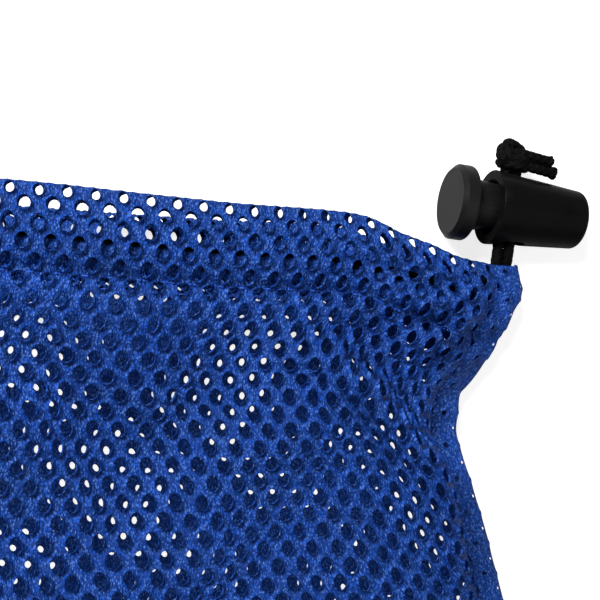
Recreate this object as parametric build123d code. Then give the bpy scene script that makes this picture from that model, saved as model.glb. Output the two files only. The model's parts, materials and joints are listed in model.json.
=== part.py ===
"""A mesh laundry bag lying on its back panel, mouth open, with a drawcord and a barrel cord lock at one corner.

Millimetres. The origin is the middle of the back panel's underside, +Z is up and the mouth faces +X. The pieces
are drawn with the mouth to +Y and the cord lock at the +X side, and each is turned a quarter as it is written.
"""

from build123d import *
import math
import os

# Bag
bag_width = 457.0
bag_length = 610.0
fabric = 1.0  # thickness of the knitted mesh, its loft included
mouth_rise = 36.0  # how far the middle of the front casing stands over its two ends
body_rise = 54.0  # the same for the fullest part of the front panel
foot_rise = 1.0  # and for its end at the bottom seam

# Hem casing round the mouth
casing_depth = 18.0
cord_room = 0.35  # over and under the cord, in the casing's channel
casing_gap = 0.3  # between the two casings where their ends meet
corner_drop = 6.0  # how far the mouth's edge falls at each corner
corner_run = 70.0  # the length over which it falls
turn_room = 26.0  # length of the opening between the two casings' channels, at each corner
exit_length = 9.0  # of the opening in the fold, at the right corner, where the cord's ends come out
exit_inset = 3.5  # from that opening to the bag's side

# Seams
seam_width = 5.2
seam_thread = 0.8  # overlock thread outside the seam
hem_thread = 0.6
hem_thread_width = 1.2
hem_thread_inset = 1.2  # from the casing's lower edge
hem_thread_stop = 18.0  # the hem threads end this far from the bag's sides

# Drawcord
cord = 2.3
cord_clearance = 0.1
cord_step = 2.6  # the cord lies this much lower in the back casing than in the front one
turn_inset = 7.0  # from the bag's left side to the cord's turn there
turn_lead = 15.0  # its straight run between the front casing's arch and that turn
turn_fall = 9.0  # how far it falls, in plan, in that turn
arch_stop = 40.0  # it leaves the arch this far from the bag's right side
exit_lead = 16.0  # and this is its straight run there, before it heads for the lock

# Cord lock, measured along its axis from the barrel's rim
barrel_radius = 7.6
barrel_end_radius = 5.9
barrel_length = 20.0
barrel_floor = 1.6
barrel_edge = 1.3
rim_chamfer = 0.5
rim_edge = 0.25
plunger_radius = 5.1
plunger_clearance = 0.1
plunger_depth = 13.0  # how far the stem reaches into the barrel
stem_show = 5.0  # the stretch of stem between the rim and the button
button_radius = 7.6
button_bevel = 0.9
button_back_edge = 0.5
button_thickness = 3.6
press_travel = 4.5
cord_hole_start = 1.6
cord_hole_length = 6.9
cord_hole_width = 5.0
spring_radius = 2.9
spring_wire = 0.55
spring_turns = 6
spring_pocket_depth = 4.2
spring_side_clearance = 0.3
spring_end_clearance = 0.05
lock_yaw = -5.0  # the lock's axis in plan, in degrees from the mouth's line
lock_gap = 4.0  # from the casing's corner to the barrel
lock_inset = 8.6  # from the bag's side to the middle of the two cords in the lock

# Knot in the two ends of the cord
knot_width = 7.8
knot_height = 6.2
knot_edge = 2.2
knot_gap = 0.4  # between the barrel and the knot
end_length = 4.6  # of the shorter cut end, outside the knot
end_difference = 0.8

# What follows from those sizes
half_width = bag_width / 2
mouth_y = bag_length / 2
foot_y = -mouth_y
casing_thickness = 2 * fabric + cord + 2 * cord_room
seam_total = seam_width + seam_thread
panel_half = half_width - seam_total
hem_y = mouth_y - casing_depth
corner_y = mouth_y - corner_drop
channel = casing_thickness / 2 - fabric  # half the height of the cord's channel in a casing
arch_foot = 1.5 * casing_thickness + casing_gap
arch_radius = (half_width**2 + mouth_rise**2) / (2 * mouth_rise)
arch_centre = arch_foot + mouth_rise - arch_radius
above_all = arch_foot + mouth_rise + body_rise


def arch(x):
    """Height of the middle of the front casing at a place across the mouth."""
    return arch_centre + math.sqrt(arch_radius**2 - x**2)


def arch_slope(x):
    return -x / math.sqrt(arch_radius**2 - x**2)


def block(low, high):
    """A box between two corners."""
    size = [b - a for a, b in zip(low, high)]
    return Pos(*low) * Box(*size, align=(Align.MIN, Align.MIN, Align.MIN))


def mouth_strip(low_inset, high_inset, side_inset):
    """A tall prism over the casing's plan, inset from its lower edge, its upper edge and its two ends."""
    half = half_width - side_inset
    fall = corner_drop * (corner_run - side_inset) / corner_run
    shoulder = half_width - corner_run
    low, high = hem_y + low_inset, mouth_y - high_inset
    points = [
        (-half, low - fall),
        (-shoulder, low),
        (shoulder, low),
        (half, low - fall),
        (half, high - fall),
        (shoulder, high),
        (-shoulder, high),
        (-half, high - fall),
    ]
    return extrude(make_face(Polyline(points, close=True)), above_all)


def above_hem():
    """All that lies beyond the casing's lower edge, where the panels and seams stop."""
    return mouth_strip(0, -bag_length, -corner_run / 2)


def arch_band(inner, outer):
    """The vault over the mouth, between two distances from the middle of the casing."""
    plane = Plane(origin=(0, mouth_y, arch_centre), x_dir=(1, 0, 0), z_dir=(0, -1, 0))
    ring = Circle(arch_radius + outer) - Circle(arch_radius + inner)
    return extrude(plane * ring, casing_depth + corner_drop)


# Panels and seams


def panel_sections():
    """Where the front panel's cross-sections stand: y, the height of its side edges, and its rise over them."""
    edge = arch(panel_half)
    rise = arch(0) - edge
    on_back = 1.5 * fabric
    full = bag_length - casing_depth - corner_drop
    return [
        (mouth_y, edge, rise),
        (hem_y - corner_drop - 1, edge, rise),
        (mouth_y - 0.11 * full, on_back + 1, body_rise * 0.9),
        (mouth_y - 0.25 * full, on_back, body_rise),
        (mouth_y - 0.50 * full, on_back, body_rise * 0.97),
        (mouth_y - 0.72 * full, on_back, body_rise * 0.74),
        (mouth_y - 0.90 * full, on_back, body_rise * 0.36),
        (foot_y + seam_total, on_back, foot_rise),
    ]


def panel_section(y, edge, rise):
    """One cross-section of the front panel: a band one fabric thick."""
    low, high = edge - fabric / 2, edge + fabric / 2
    under = ThreePointArc((-panel_half, y, low), (0, y, low + rise), (panel_half, y, low))
    over = ThreePointArc((panel_half, y, high), (0, y, high + rise), (-panel_half, y, high))
    return make_face([under, Line(under @ 1, over @ 0), over, Line(over @ 1, under @ 0)])


def front_panel():
    return loft([panel_section(*s) for s in panel_sections()], ruled=True) - above_hem()


def back_panel():
    return block((-panel_half, foot_y + seam_total, 0), (panel_half, mouth_y, fabric)) - above_hem()


def side_strip(inner, outer, side):
    """A strip down one side, as tall as the front panel's edge; side is 1 or -1."""
    tops = [(y, edge + fabric / 2) for y, edge, _ in panel_sections()[:-1]]
    outline = [(mouth_y, 0), *tops, (foot_y, 2 * fabric), (foot_y, 0)]
    face = make_face(Polyline([(side * inner, y, z) for y, z in outline], close=True))
    return extrude(face, outer - inner, dir=(side, 0, 0)) - above_hem()


def bottom_strip(inner, outer):
    """A strip along the foot, between two distances from the bag's end."""
    height = 2 * fabric + foot_rise
    return block((-panel_half, foot_y + outer, 0), (panel_half, foot_y + inner, height))


# Casings


def corner_window(side, inset, length, top):
    """Opens the two casings' channels to each other at a corner, up to a height in plan."""
    ends = sorted((side * (half_width - inset), side * (half_width - inset - length)))
    low = (ends[0], hem_y - corner_drop + 2 * fabric, fabric)
    return block(low, (ends[1], top, above_all)) & arch_band(-arch_foot - above_all, channel)


def casing_windows():
    inside = corner_y - fabric
    joined = [corner_window(side, 2 * fabric, turn_room, inside) for side in (-1, 1)]
    return [*joined, corner_window(1, exit_inset, exit_length, mouth_y + 1)]


def front_casing():
    outer = arch_band(-casing_thickness / 2, casing_thickness / 2) & mouth_strip(0, 0, 0)
    inner = arch_band(-channel, channel) & mouth_strip(fabric, fabric, fabric)
    return outer - [inner, *casing_windows()]


def back_casing():
    low, high = (-half_width, hem_y - corner_drop, 0), (half_width, mouth_y, casing_thickness)
    outer = block(low, high) & mouth_strip(0, 0, 0)
    low, high = (low[0], low[1], fabric), (high[0], high[1], casing_thickness - fabric)
    inner = block(low, high) & mouth_strip(fabric, fabric, fabric)
    return outer - [inner, *casing_windows()]


def hem_thread_strip():
    upper = casing_depth - hem_thread_inset - hem_thread_width
    return mouth_strip(hem_thread_inset, upper, hem_thread_stop)


def front_hem_stitching():
    surface = casing_thickness / 2
    return arch_band(surface, surface + hem_thread) & hem_thread_strip()


def back_hem_stitching():
    low = (-half_width, hem_y - corner_drop, casing_thickness)
    high = (half_width, mouth_y, casing_thickness + hem_thread)
    return block(low, high) & hem_thread_strip()


# Cord lock: drawn along +X from the barrel's rim, then laid on its cone beside the corner

lock_tilt = math.degrees(math.atan((barrel_radius - barrel_end_radius) / barrel_length))
near_cord = cord_hole_start + cord_clearance + cord / 2  # places of the two cords along the lock
far_cord = near_cord + cord + cord_clearance
cords_middle = (near_cord + far_cord) / 2
slot_inner = far_cord + cord / 2 + cord_clearance
slot_outer = near_cord - cord / 2 - press_travel - cord_clearance
bore_radius = plunger_radius + plunger_clearance
spring_start = plunger_depth - spring_pocket_depth
spring_end = barrel_length - barrel_floor

axis_height = barrel_radius * math.cos(math.radians(lock_tilt))
axis_height -= cords_middle * math.sin(math.radians(lock_tilt))
lock_place = (half_width - lock_inset, corner_y + lock_gap + barrel_radius, axis_height)
to_lock = Pos(*lock_place) * Rot(0, 0, lock_yaw) * Rot(0, lock_tilt, 0) * Pos(-cords_middle, 0, 0)


def turned(points):
    """A solid of revolution about X from (along, radius) points."""
    return revolve(make_face(Polyline([(x, r, 0) for x, r in points], close=True)), Axis.X)


def circles_at(solid, along):
    edges = solid.edges().filter_by(GeomType.CIRCLE)
    return [e for e in edges if abs(e.center().X - along) < 0.01]


def cross_slot(start, end, width):
    """A round-ended hole right across the lock, along Y."""
    reach = 2 * barrel_radius
    plane = Plane(origin=((start + end) / 2, reach, 0), x_dir=(1, 0, 0), z_dir=(0, -1, 0))
    return extrude(plane * SlotOverall(end - start, width), 2 * reach)


def lock_barrel():
    shell = turned(
        [
            (0, bore_radius + rim_chamfer),
            (0, barrel_radius),
            (barrel_length, barrel_end_radius),
            (barrel_length, 0),
            (spring_end, 0),
            (spring_end, bore_radius),
            (rim_chamfer, bore_radius),
        ]
    )
    shell = fillet(circles_at(shell, barrel_length), barrel_edge)
    shell = fillet(max(circles_at(shell, 0), key=lambda e: e.radius), rim_edge)
    return shell - cross_slot(cord_hole_start, cord_hole_start + cord_hole_length, cord_hole_width)


def lock_plunger():
    face = -stem_show - button_thickness
    pocket = spring_radius + spring_wire / 2 + spring_side_clearance
    solid = turned(
        [
            (face, 0),
            (face, button_radius - button_bevel),
            (face + button_bevel, button_radius),
            (-stem_show, button_radius),
            (-stem_show, plunger_radius),
            (plunger_depth, plunger_radius),
            (plunger_depth, pocket),
            (spring_start, pocket),
            (spring_start, 0),
        ]
    )
    solid = fillet(max(circles_at(solid, -stem_show), key=lambda e: e.radius), button_back_edge)
    return solid - cross_slot(slot_outer, slot_inner, cord_hole_width)


def lock_spring():
    start = spring_start + spring_wire / 2 + spring_end_clearance
    length = spring_end - spring_wire / 2 - spring_end_clearance - start
    plane = Plane(origin=(start, 0, 0), x_dir=(0, 1, 0), z_dir=(1, 0, 0))
    line = plane * Helix(pitch=length / spring_turns, height=length, radius=spring_radius)
    return sweep(Plane(origin=line @ 0, z_dir=line % 0) * Circle(spring_wire / 2), path=line)


# Drawcord: one cord round both casings, its two ends out at the right corner, through the lock and knotted

knot_start = barrel_radius + knot_gap
front_y = (hem_y + mouth_y - corner_drop) / 2
back_y = front_y - cord_step


def in_lock(along, across):
    """A point of the lock: along its axis, and across it from the middle."""
    return tuple((to_lock * Pos(along, across, 0)).position)


def rounded(points):
    """Straight runs joined by arcs as large as the runs allow."""
    radii = []
    for before, at, after in zip(points, points[1:], points[2:]):
        first, second = Vector(*at) - Vector(*before), Vector(*after) - Vector(*at)
        half_turn = math.radians(first.get_angle(second)) / 2
        radii.append(0.45 * min(first.length, second.length) / math.tan(half_turn))
    print("cord radii", [round(r, 1) for r in radii])
    return FilletPolyline(*points, radius=radii)


def into_lock(along, from_y):
    """Where a cord that runs along the casing meets its own line through the lock, and that line's end."""
    start, end = in_lock(along, 0), in_lock(along, knot_start + 1)
    share = (from_y - start[1]) / (end[1] - start[1])
    corner = (start[0] + share * (end[0] - start[0]), from_y, start[2])
    return [corner, end]


def cord_path():
    leave = half_width - arch_stop
    lead_x = leave + exit_lead
    turn_x = -half_width + turn_inset
    join = turn_x + turn_lead
    low_z = casing_thickness / 2
    front = [
        *into_lock(near_cord, front_y)[::-1],
        (lead_x, front_y, arch(leave) + arch_slope(leave) * exit_lead),
        (leave, front_y, arch(leave)),
    ]
    back = [
        (join, front_y, arch(join)),
        (turn_x, front_y, arch(join) - arch_slope(join) * turn_lead),
        (turn_x, front_y - turn_fall, low_z),
        (-half_width + corner_run, back_y, low_z),
        (lead_x, back_y, low_z),
        *into_lock(far_cord, back_y),
    ]
    over = ThreePointArc(front[-1], (0, front_y, arch(0)), back[0])
    return Wire([*rounded(front).edges(), over, *rounded(back).edges()])


def drawcord():
    path = cord_path()
    tube = sweep(Plane(origin=path @ 0, z_dir=path % 0) * Circle(cord / 2), path=path)
    share = tube.volume / (path.length * math.pi * cord**2 / 4)
    print("cord length", round(path.length), "volume over section times length", round(share, 4))
    return tube - cord_knot()


def cord_knot():
    lump = Box(knot_width, knot_height, knot_width)
    lump = fillet(lump.edges(), knot_edge)
    return to_lock * Pos(cords_middle, knot_start + knot_height / 2, 0) * lump


def cord_ends():
    ends = []
    for side in (-1, 1):
        across = knot_start + knot_height / 2 + side * (cord + cord_clearance) / 2
        length = knot_width / 4 + end_length + (side + 1) / 2 * end_difference
        place = Pos(cords_middle + knot_width / 4, across, 0) * Rot(0, 90, 0)
        ends.append(place * extrude(Circle(cord / 2), length))
    return to_lock * Compound(children=ends) - cord_knot()


def main():
    os.makedirs("parts", exist_ok=True)
    pieces = {
        "front_panel": front_panel(),
        "back_panel": back_panel(),
        "front_hem_casing": front_casing(),
        "back_hem_casing": back_casing(),
        "front_hem_stitching": front_hem_stitching(),
        "back_hem_stitching": back_hem_stitching(),
        "bottom_seam": bottom_strip(seam_total, seam_thread),
        "bottom_overlock_thread": bottom_strip(seam_thread, 0),
        "drawcord": drawcord(),
        "cord_knot": cord_knot(),
        "cord_ends": cord_ends(),
        "lock_barrel": to_lock * lock_barrel(),
        "lock_plunger": to_lock * lock_plunger(),
        "lock_spring": to_lock * lock_spring(),
    }
    for name, side in (("left", -1), ("right", 1)):
        pieces[name + "_side_seam"] = side_strip(panel_half, panel_half + seam_width, side)
        pieces[name + "_overlock_thread"] = side_strip(panel_half + seam_width, half_width, side)
    for name, shape in pieces.items():
        export_step(Rot(0, 0, -90) * shape, f"parts/{name}.step")


main()
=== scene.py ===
"""Builds a drawstring mesh laundry bag, its drawcord and its cord lock, around the bag's measured frame.

Run as a script. Sizes in the panels below are in millimetres; the meshes are written in metres.
"""

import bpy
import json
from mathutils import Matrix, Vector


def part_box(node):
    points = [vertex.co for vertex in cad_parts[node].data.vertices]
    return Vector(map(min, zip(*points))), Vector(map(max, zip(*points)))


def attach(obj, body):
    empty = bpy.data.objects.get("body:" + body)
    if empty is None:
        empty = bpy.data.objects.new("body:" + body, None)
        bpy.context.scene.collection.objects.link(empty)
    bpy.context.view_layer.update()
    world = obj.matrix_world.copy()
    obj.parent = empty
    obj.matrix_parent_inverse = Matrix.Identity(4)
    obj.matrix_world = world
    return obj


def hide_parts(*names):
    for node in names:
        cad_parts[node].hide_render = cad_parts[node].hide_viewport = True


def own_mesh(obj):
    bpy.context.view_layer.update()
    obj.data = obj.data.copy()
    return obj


bl_info = {
    "name": "Mesh Laundry Bag",
    "version": (1, 0, 0),
    "blender": (4, 5, 0),
    "location": "3D View > Sidebar > Laundry Bag",
    "description": "Builds a knitted mesh laundry bag with a hem, seams, a braided drawcord and a cord lock",
    "category": "Add Mesh",
}

import json
import math

import bpy
import numpy as np
from mathutils import Vector

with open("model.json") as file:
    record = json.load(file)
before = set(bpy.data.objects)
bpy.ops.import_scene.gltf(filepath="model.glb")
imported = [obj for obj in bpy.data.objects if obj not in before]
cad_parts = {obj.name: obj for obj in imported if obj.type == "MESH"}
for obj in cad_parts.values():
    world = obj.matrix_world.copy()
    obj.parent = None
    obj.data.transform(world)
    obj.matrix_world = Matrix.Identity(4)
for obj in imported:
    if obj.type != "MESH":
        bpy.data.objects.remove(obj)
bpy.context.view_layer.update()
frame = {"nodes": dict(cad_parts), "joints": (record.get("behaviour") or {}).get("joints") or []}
MM = 0.001


def node_box(node):
    """A frame node's lowest and highest corners, in millimetres."""
    low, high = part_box(node)
    return np.array(low) / MM, np.array(high) / MM


HEM_HIGH = node_box("front_hem_casing")[1]
HALF = float(node_box("back_panel")[1][1])  # half the cloth's width between the side seams
MOUTH = float(HEM_HIGH[0])
MOUTH_HALF = float(HEM_HIGH[1])
FOOT = float(node_box("bottom_seam")[1][0])
HEM_THICK = float(node_box("back_hem_casing")[1][2])
MOUTH_RISE = float(HEM_HIGH[2] - HEM_THICK)
KNOT_MIDDLE = sum(node_box("cord_knot")) / 2
SPRING_MIDDLE = sum(node_box("lock_spring")) / 2
PRESS_AXIS = next(Vector(j["axis"]) for j in frame["joints"] if j["name"] == "plunger_press")


# Sizes and colours that a user would change


class BagFabric(bpy.types.PropertyGroup):
    """The knitted mesh: its holes, its dye and its painted glint colour"""

    pitch: bpy.props.FloatProperty(
        name="Hole pitch", description="Between holes of one row, in mm", default=4.8
    )
    row: bpy.props.FloatProperty(name="Row pitch", description="Between rows of holes, in mm", default=3.1)
    hole_width: bpy.props.FloatProperty(name="Hole width", description="Across the bag, in mm", default=2.25)
    hole_length: bpy.props.FloatProperty(name="Hole length", description="Along the bag, in mm", default=2.65)
    colour: bpy.props.FloatVectorProperty(
        name="Yarn", description="Colour of the knit", subtype="COLOR", size=3, default=(0.011, 0.098, 0.58)
    )
    # Painted highlight: the colour painted on the loops where the filaments catch the light
    light: bpy.props.FloatVectorProperty(
        name="Filament",
        description="Colour where the filaments shine",
        subtype="COLOR",
        size=3,
        default=(0.13, 0.27, 0.66),
    )


class BagShape(bpy.types.PropertyGroup):
    """The hem's depth, and how much of the corner is finely made"""

    hem_depth: bpy.props.FloatProperty(
        name="Hem depth", description="From the fold to the stitches, in mm", default=15.6
    )
    near_width: bpy.props.FloatProperty(
        name="Fine width", description="Width of the finely made corner, in mm", default=120.0
    )
    near_length: bpy.props.FloatProperty(
        name="Fine length", description="Length of the finely made corner, in mm", default=93.0
    )


class BagCord(bpy.types.PropertyGroup):
    """The drawcord and the plastic of its lock"""

    diameter: bpy.props.FloatProperty(name="Cord", description="Diameter of the drawcord, in mm", default=2.3)
    colour: bpy.props.FloatVectorProperty(
        name="Cord colour",
        description="Colour of the braid",
        subtype="COLOR",
        size=3,
        default=(0.0014, 0.0014, 0.0016),
    )
    plastic: bpy.props.FloatVectorProperty(
        name="Plastic",
        description="Colour of the cord lock",
        subtype="COLOR",
        size=3,
        default=(0.0035, 0.0035, 0.0037),
    )


# Curves and small sums


def smooth(x, low, high):
    """0 below low, 1 above high, and an even S between."""
    u = np.clip((np.asarray(x, float) - low) / (high - low), 0, 1)
    return u * u * (3 - 2 * u)


def through(knots, x):
    """A smooth line through (place, value) knots that never passes their values, level beyond its ends."""
    place, value = np.array(knots, float).T
    climb = np.diff(value) / np.diff(place)
    before, after = climb[:-1], climb[1:]
    same_way = before * after > 0
    middle = 2 * before * after / np.where(same_way, before + after, 1)
    slope = np.concatenate([[0], np.where(same_way, middle, 0), [0]])
    x = np.clip(np.asarray(x, float), place[0], place[-1])
    i = np.clip(np.searchsorted(place, x) - 1, 0, len(place) - 2)
    h = place[i + 1] - place[i]
    u = (x - place[i]) / h
    start = value[i] * (1 + 2 * u) * (1 - u) ** 2 + slope[i] * h * u * (1 - u) ** 2
    end = value[i + 1] * u * u * (3 - 2 * u) + slope[i + 1] * h * u * u * (u - 1)
    return start + end


def unit(v):
    """Directions, each of length 1."""
    return v / np.maximum(np.linalg.norm(v, axis=-1, keepdims=True), 1e-9)


def distance_along(line):
    """Distance from a line's start to each of its points."""
    return np.concatenate([[0], np.cumsum(np.linalg.norm(np.diff(line, axis=0), axis=1))])


def turns_round(count):
    """Angles evenly round a circle."""
    return np.arange(count) / count * 2 * math.pi


def ripple(x, y, seed):
    """Slow, uneven waves between -1 and 1, the same on every run."""
    rng = np.random.default_rng(seed)
    total = 0
    for _ in range(6):
        turn, phase = rng.uniform(0, 2 * math.pi, 2)
        size = rng.uniform(0.6, 1.6)
        total = total + np.sin(size * (x * math.cos(turn) + y * math.sin(turn)) + phase)
    return total / 4


# The bag's shape: s runs across the cloth from the side with the cord lock, a runs from the mouth to the foot

# Across the bag, and how far the mouth's edge stands out from its straight line
MOUTH_EDGE = [
    (-223, -9.2), (-219.5, -6.8), (-217, -5.7), (-212, -5.4), (-207.5, -5.0), (-203, -3.5), (-194, -1.1),
    (-185.5, 1.6), (-177.5, 1.9), (-162, 1.7), (-147, 2.0), (-120, 2.7), (-60, 2.0), (60, 1.0), (150, -1.0),
    (195, -3.0), (222, -6.0),
]
# Down from the mouth, and how far the lock's side is pulled in
SIDE_PULL = [
    (0, 4.6), (2.5, 3.5), (5, 3.4), (8.7, 4.9), (13.7, 7.4), (18.6, 9.8), (22.7, 12.9), (26, 15.5),
    (29, 16.3), (35.5, 17.2), (40.5, 16.2), (55, 10.5), (80, 3.0), (130, 0.8), (300, 2.0), (450, 0.5),
    (620, 0.0),
]
# The same on the other side
FAR_PULL = [(0, 1.0), (20, 4.0), (40, 7.0), (80, 3.0), (200, 0.5), (380, 2.5), (620, 0.0)]
PULL_REACH = 42  # how quickly the pull fades across the cloth
# Down from the mouth, and the height of the side seams
SEAM_HEIGHT = [(0, 5.6), (20, 5.2), (45, 3.4), (80, 2.0), (620, 1.8)]
# From the foot to the mouth, and the height of the slack body along its middle
BODY_HEIGHT = [
    (-300, 1.0), (-265, 9.0), (-220, 20.0), (-120, 40.0), (8, 51.0), (155, 54.0), (225, 50.0), (310, 42.0),
]
# The fold between the pulled corner and the fuller body, from the hem to the side
FOLD_START = (284.0, -178.0)
FOLD_END = (260.0, -210.0)
EXIT = (MOUTH - 6.0, -219.0)  # where the cord leaves the hem
# Across from the lock's side, and how far the hem's inner layer has slipped along the outer one
LAYER_SLIP = [
    (0, 0.0), (24, 2.0), (42, 0.6), (60, 1.7), (80, 1.95), (110, 1.9), (200, 1.2), (300, 2.6), (445, 0.8),
]
FLOOR_CLEAR = 0.15
BACK_HEIGHT = 0.9  # the middle of the back cloth, over the floor
BACK_HEM_RISE = 2.1  # how much higher it lies in the hem
BACK_BUCKLE = 5.5  # how high it buckles where the bag is full
FRONT_CLEAR = 2.6  # the front cloth, over the back one, where the bag is flat
GROOVE_DEPTH = 0.9  # how far the hem's stitches pull the cloth in
GROOVE_WIDTH = 1.5
WRAP_START = 2.0  # where the front cloth starts to roll over the side seam
WRAP_OUT = 6.1  # how far it rolls out
WRAP_DROP = 2.0  # how far it comes down
WRAP_TURN = 4.6  # its length for each radian of the roll
CLOTH_START = {"front": -6, "back": -1}  # only the front cloth goes round the seam beside the lock
CLOTH_PAST = 1  # how far the cloth goes into the seams elsewhere
PAST_STITCH = 0.01  # a row of holes right on the stitches belongs to the hem
FOOT_SHORT = 1  # the panels stop this much before the bottom seam's outer edge
TURNED_IN = 6.5  # the hem's raw edge, turned in above its stitches
BAND_OUT = 1.6  # the side seam's middle, out from the cloth's edge
BAND_WIDTH = 5.0
BAND_THICK = 2.3


def hem_profile(hem_depth):
    """The hem's cross-section: cloth length from the fold, distance in from it, and half its thickness."""
    tip, fold, full, thin = 0.6, 0.5, 2.0, 0.7
    a = hem_depth * np.linspace(0, 1, 240) ** 2
    half = fold * np.sqrt(1 - (1 - np.minimum(a / tip, 1)) ** 2)
    swell, pinch = smooth(a, 0.4, 7.0), smooth(a, 10.6, hem_depth)
    half = half + (full - fold) * swell - (full - thin) * pinch
    length = np.concatenate([[0], np.cumsum(np.hypot(np.diff(a), np.diff(half)))])
    return length, a, half


def mouth_arch(y):
    """Height of the middle of the front hem across the mouth."""
    radius = (MOUTH_HALF**2 + MOUTH_RISE**2) / (2 * MOUTH_RISE)
    foot = 1.5 * HEM_THICK + 0.3
    return foot + MOUTH_RISE - radius + np.sqrt(radius**2 - y**2)


def plan(s, a):
    """Where a place of the cloth lies in plan."""
    lock_side = through(SIDE_PULL, a) * np.exp(-np.maximum(s, CLOTH_START["front"]) / PULL_REACH)
    far_side = through(FAR_PULL, a) * np.exp(-np.maximum(2 * HALF - s, CLOTH_START["front"]) / PULL_REACH)
    y = -HALF + s + lock_side - far_side
    edge = through(MOUTH_EDGE, y) * (1 - smooth(a, 10, 260))
    return MOUTH + edge - a, y


def corner_fold(x, y):
    """The fuller body's rounded step over the corner that the cord pulls down."""
    ex, ey = FOLD_END[0] - FOLD_START[0], FOLD_END[1] - FOLD_START[1]
    length = math.hypot(ex, ey)
    along = ((x - FOLD_START[0]) * ex + (y - FOLD_START[1]) * ey) / length
    out = ((x - FOLD_START[0]) * ey - (y - FOLD_START[1]) * ex) / length
    out = out + 1.5 * np.sin(along / 7)
    reach = smooth(along, -14, 12) * (1 - smooth(along, 45, 75))
    step = smooth(out, -2.0, 4.5) * np.exp(-np.maximum(out - 5, 0) / 34)
    return (11.0 * step - 3.6 * (1 - smooth(out, -12, 3))) * reach


def corner_creases(x, y):
    """Creases that fan out from the cord's exit."""
    dx, dy = EXIT[0] - x, y - EXIT[1]
    distance = np.hypot(dx, dy)
    angle = np.arctan2(dy, dx)
    size = 0.85 * np.exp(-(((distance - 24) / 15) ** 2))
    return size * np.sin(17 * angle + 2.2 * np.sin(distance / 7.0) + 0.6)


def fullness(x, y):
    """Height that the slack body of the bag stands to."""
    return through(BODY_HEIGHT, x) * (1 - np.minimum(np.abs(y) / (HALF + 1), 1) ** 2.6)


def beside_seams(s, reach):
    """1 at the side seams, fading into the cloth."""
    side = np.exp(-np.maximum(s, 0) / reach) + np.exp(-np.maximum(2 * HALF - s, 0) / reach)
    return np.clip(side, 0, 1)


def front_surface(s, a):
    """The middle of the front cloth."""
    x, y = plan(s, a)
    body = FRONT_CLEAR + fullness(x, y)
    mix = smooth(a, 14, 95)
    z = mouth_arch(np.clip(y, -HALF, HALF)) * (1 - mix) + body * mix
    z = z + corner_fold(x, y) * smooth(a, 15, 24)
    loose = np.clip(fullness(x, y) / 24, 0, 1)  # only slack cloth wrinkles, finely and then broadly
    z = z + 0.8 * ripple(x / 6, y / 6, 3) * smooth(a, 14, 40) * smooth(s, 0, 30) * loose
    z = z + 2.4 * ripple(x / 24, y / 24, 5) * smooth(a, 14, 90) * smooth(s, 0, 60) * loose
    seam = through(SEAM_HEIGHT, a) + BAND_THICK / 2 + 0.3
    side = beside_seams(s, 3.5)
    return np.stack([x, y, z * (1 - side) + seam * side], -1)


def back_surface(s, a):
    """The middle of the back cloth, which lies on the floor."""
    x, y = plan(s, a)
    hem = 1 - smooth(a, 13, 26)
    inside = smooth(s, 0, 25) * smooth(2 * HALF - s, 0, 25) * smooth(MOUTH - FOOT - a, 0, 25) * (1 - hem)
    headroom = np.clip((fullness(x, y) - 6) / 22, 0, 1)
    x, y = x + 0.9 * ripple(x / 3.6, y / 3.6, 51) * inside, y + 0.9 * ripple(x / 3.4, y / 3.4, 52) * inside
    buckle = BACK_BUCKLE * np.maximum(0, ripple(x / 5, y / 6.5, 8))
    z = BACK_HEIGHT + BACK_HEM_RISE * hem + buckle * inside * headroom
    seam = through(SEAM_HEIGHT, a) - 0.8
    side = beside_seams(s, 6)
    return np.stack([x, y, z * (1 - side) + np.maximum(seam, 0.8) * side], -1)


def settled(points, held, reach, growth, frames=22):
    """Lets a grid of cloth points buckle and sag under Blender's cloth, each by no more than its reach."""
    rows, columns = points.shape[:2]
    ids = np.arange(rows * columns).reshape(rows, columns)
    faces = np.stack([ids[:-1, :-1], ids[:-1, 1:], ids[1:, 1:], ids[1:, :-1]], -1).reshape(-1, 4)
    trial = new_mesh("settling_cloth", points.reshape(-1, 3), faces)
    group = trial.vertex_groups.new(name="held")
    for index, weight in enumerate(held.ravel()):
        group.add([index], float(weight), "REPLACE")
    cloth = trial.modifiers.new("cloth", "CLOTH")
    cloth.settings.quality = 6
    cloth.settings.mass = 0.12
    cloth.settings.tension_stiffness = 12
    cloth.settings.compression_stiffness = 10
    cloth.settings.shear_stiffness = 3
    cloth.settings.bending_stiffness = 0.25
    cloth.settings.shrink_min = -growth
    cloth.settings.vertex_group_mass = "held"
    cloth.settings.effector_weights.gravity = 0.06
    cloth.point_cache.frame_end = frames
    scene = bpy.context.scene
    for number in range(1, frames + 1):
        scene.frame_set(number)
    after = trial.evaluated_get(bpy.context.evaluated_depsgraph_get()).data
    moved = np.empty(len(after.vertices) * 3, np.float32)
    after.vertices.foreach_get("co", moved)
    scene.frame_set(1)
    mesh = trial.data
    bpy.data.objects.remove(trial)
    bpy.data.meshes.remove(mesh)
    shift = moved.reshape(points.shape) / MM - points
    far = np.linalg.norm(shift, axis=-1, keepdims=True)
    limit = reach[..., None]
    return points + shift * limit / np.maximum(limit + far, 1e-6)


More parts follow.
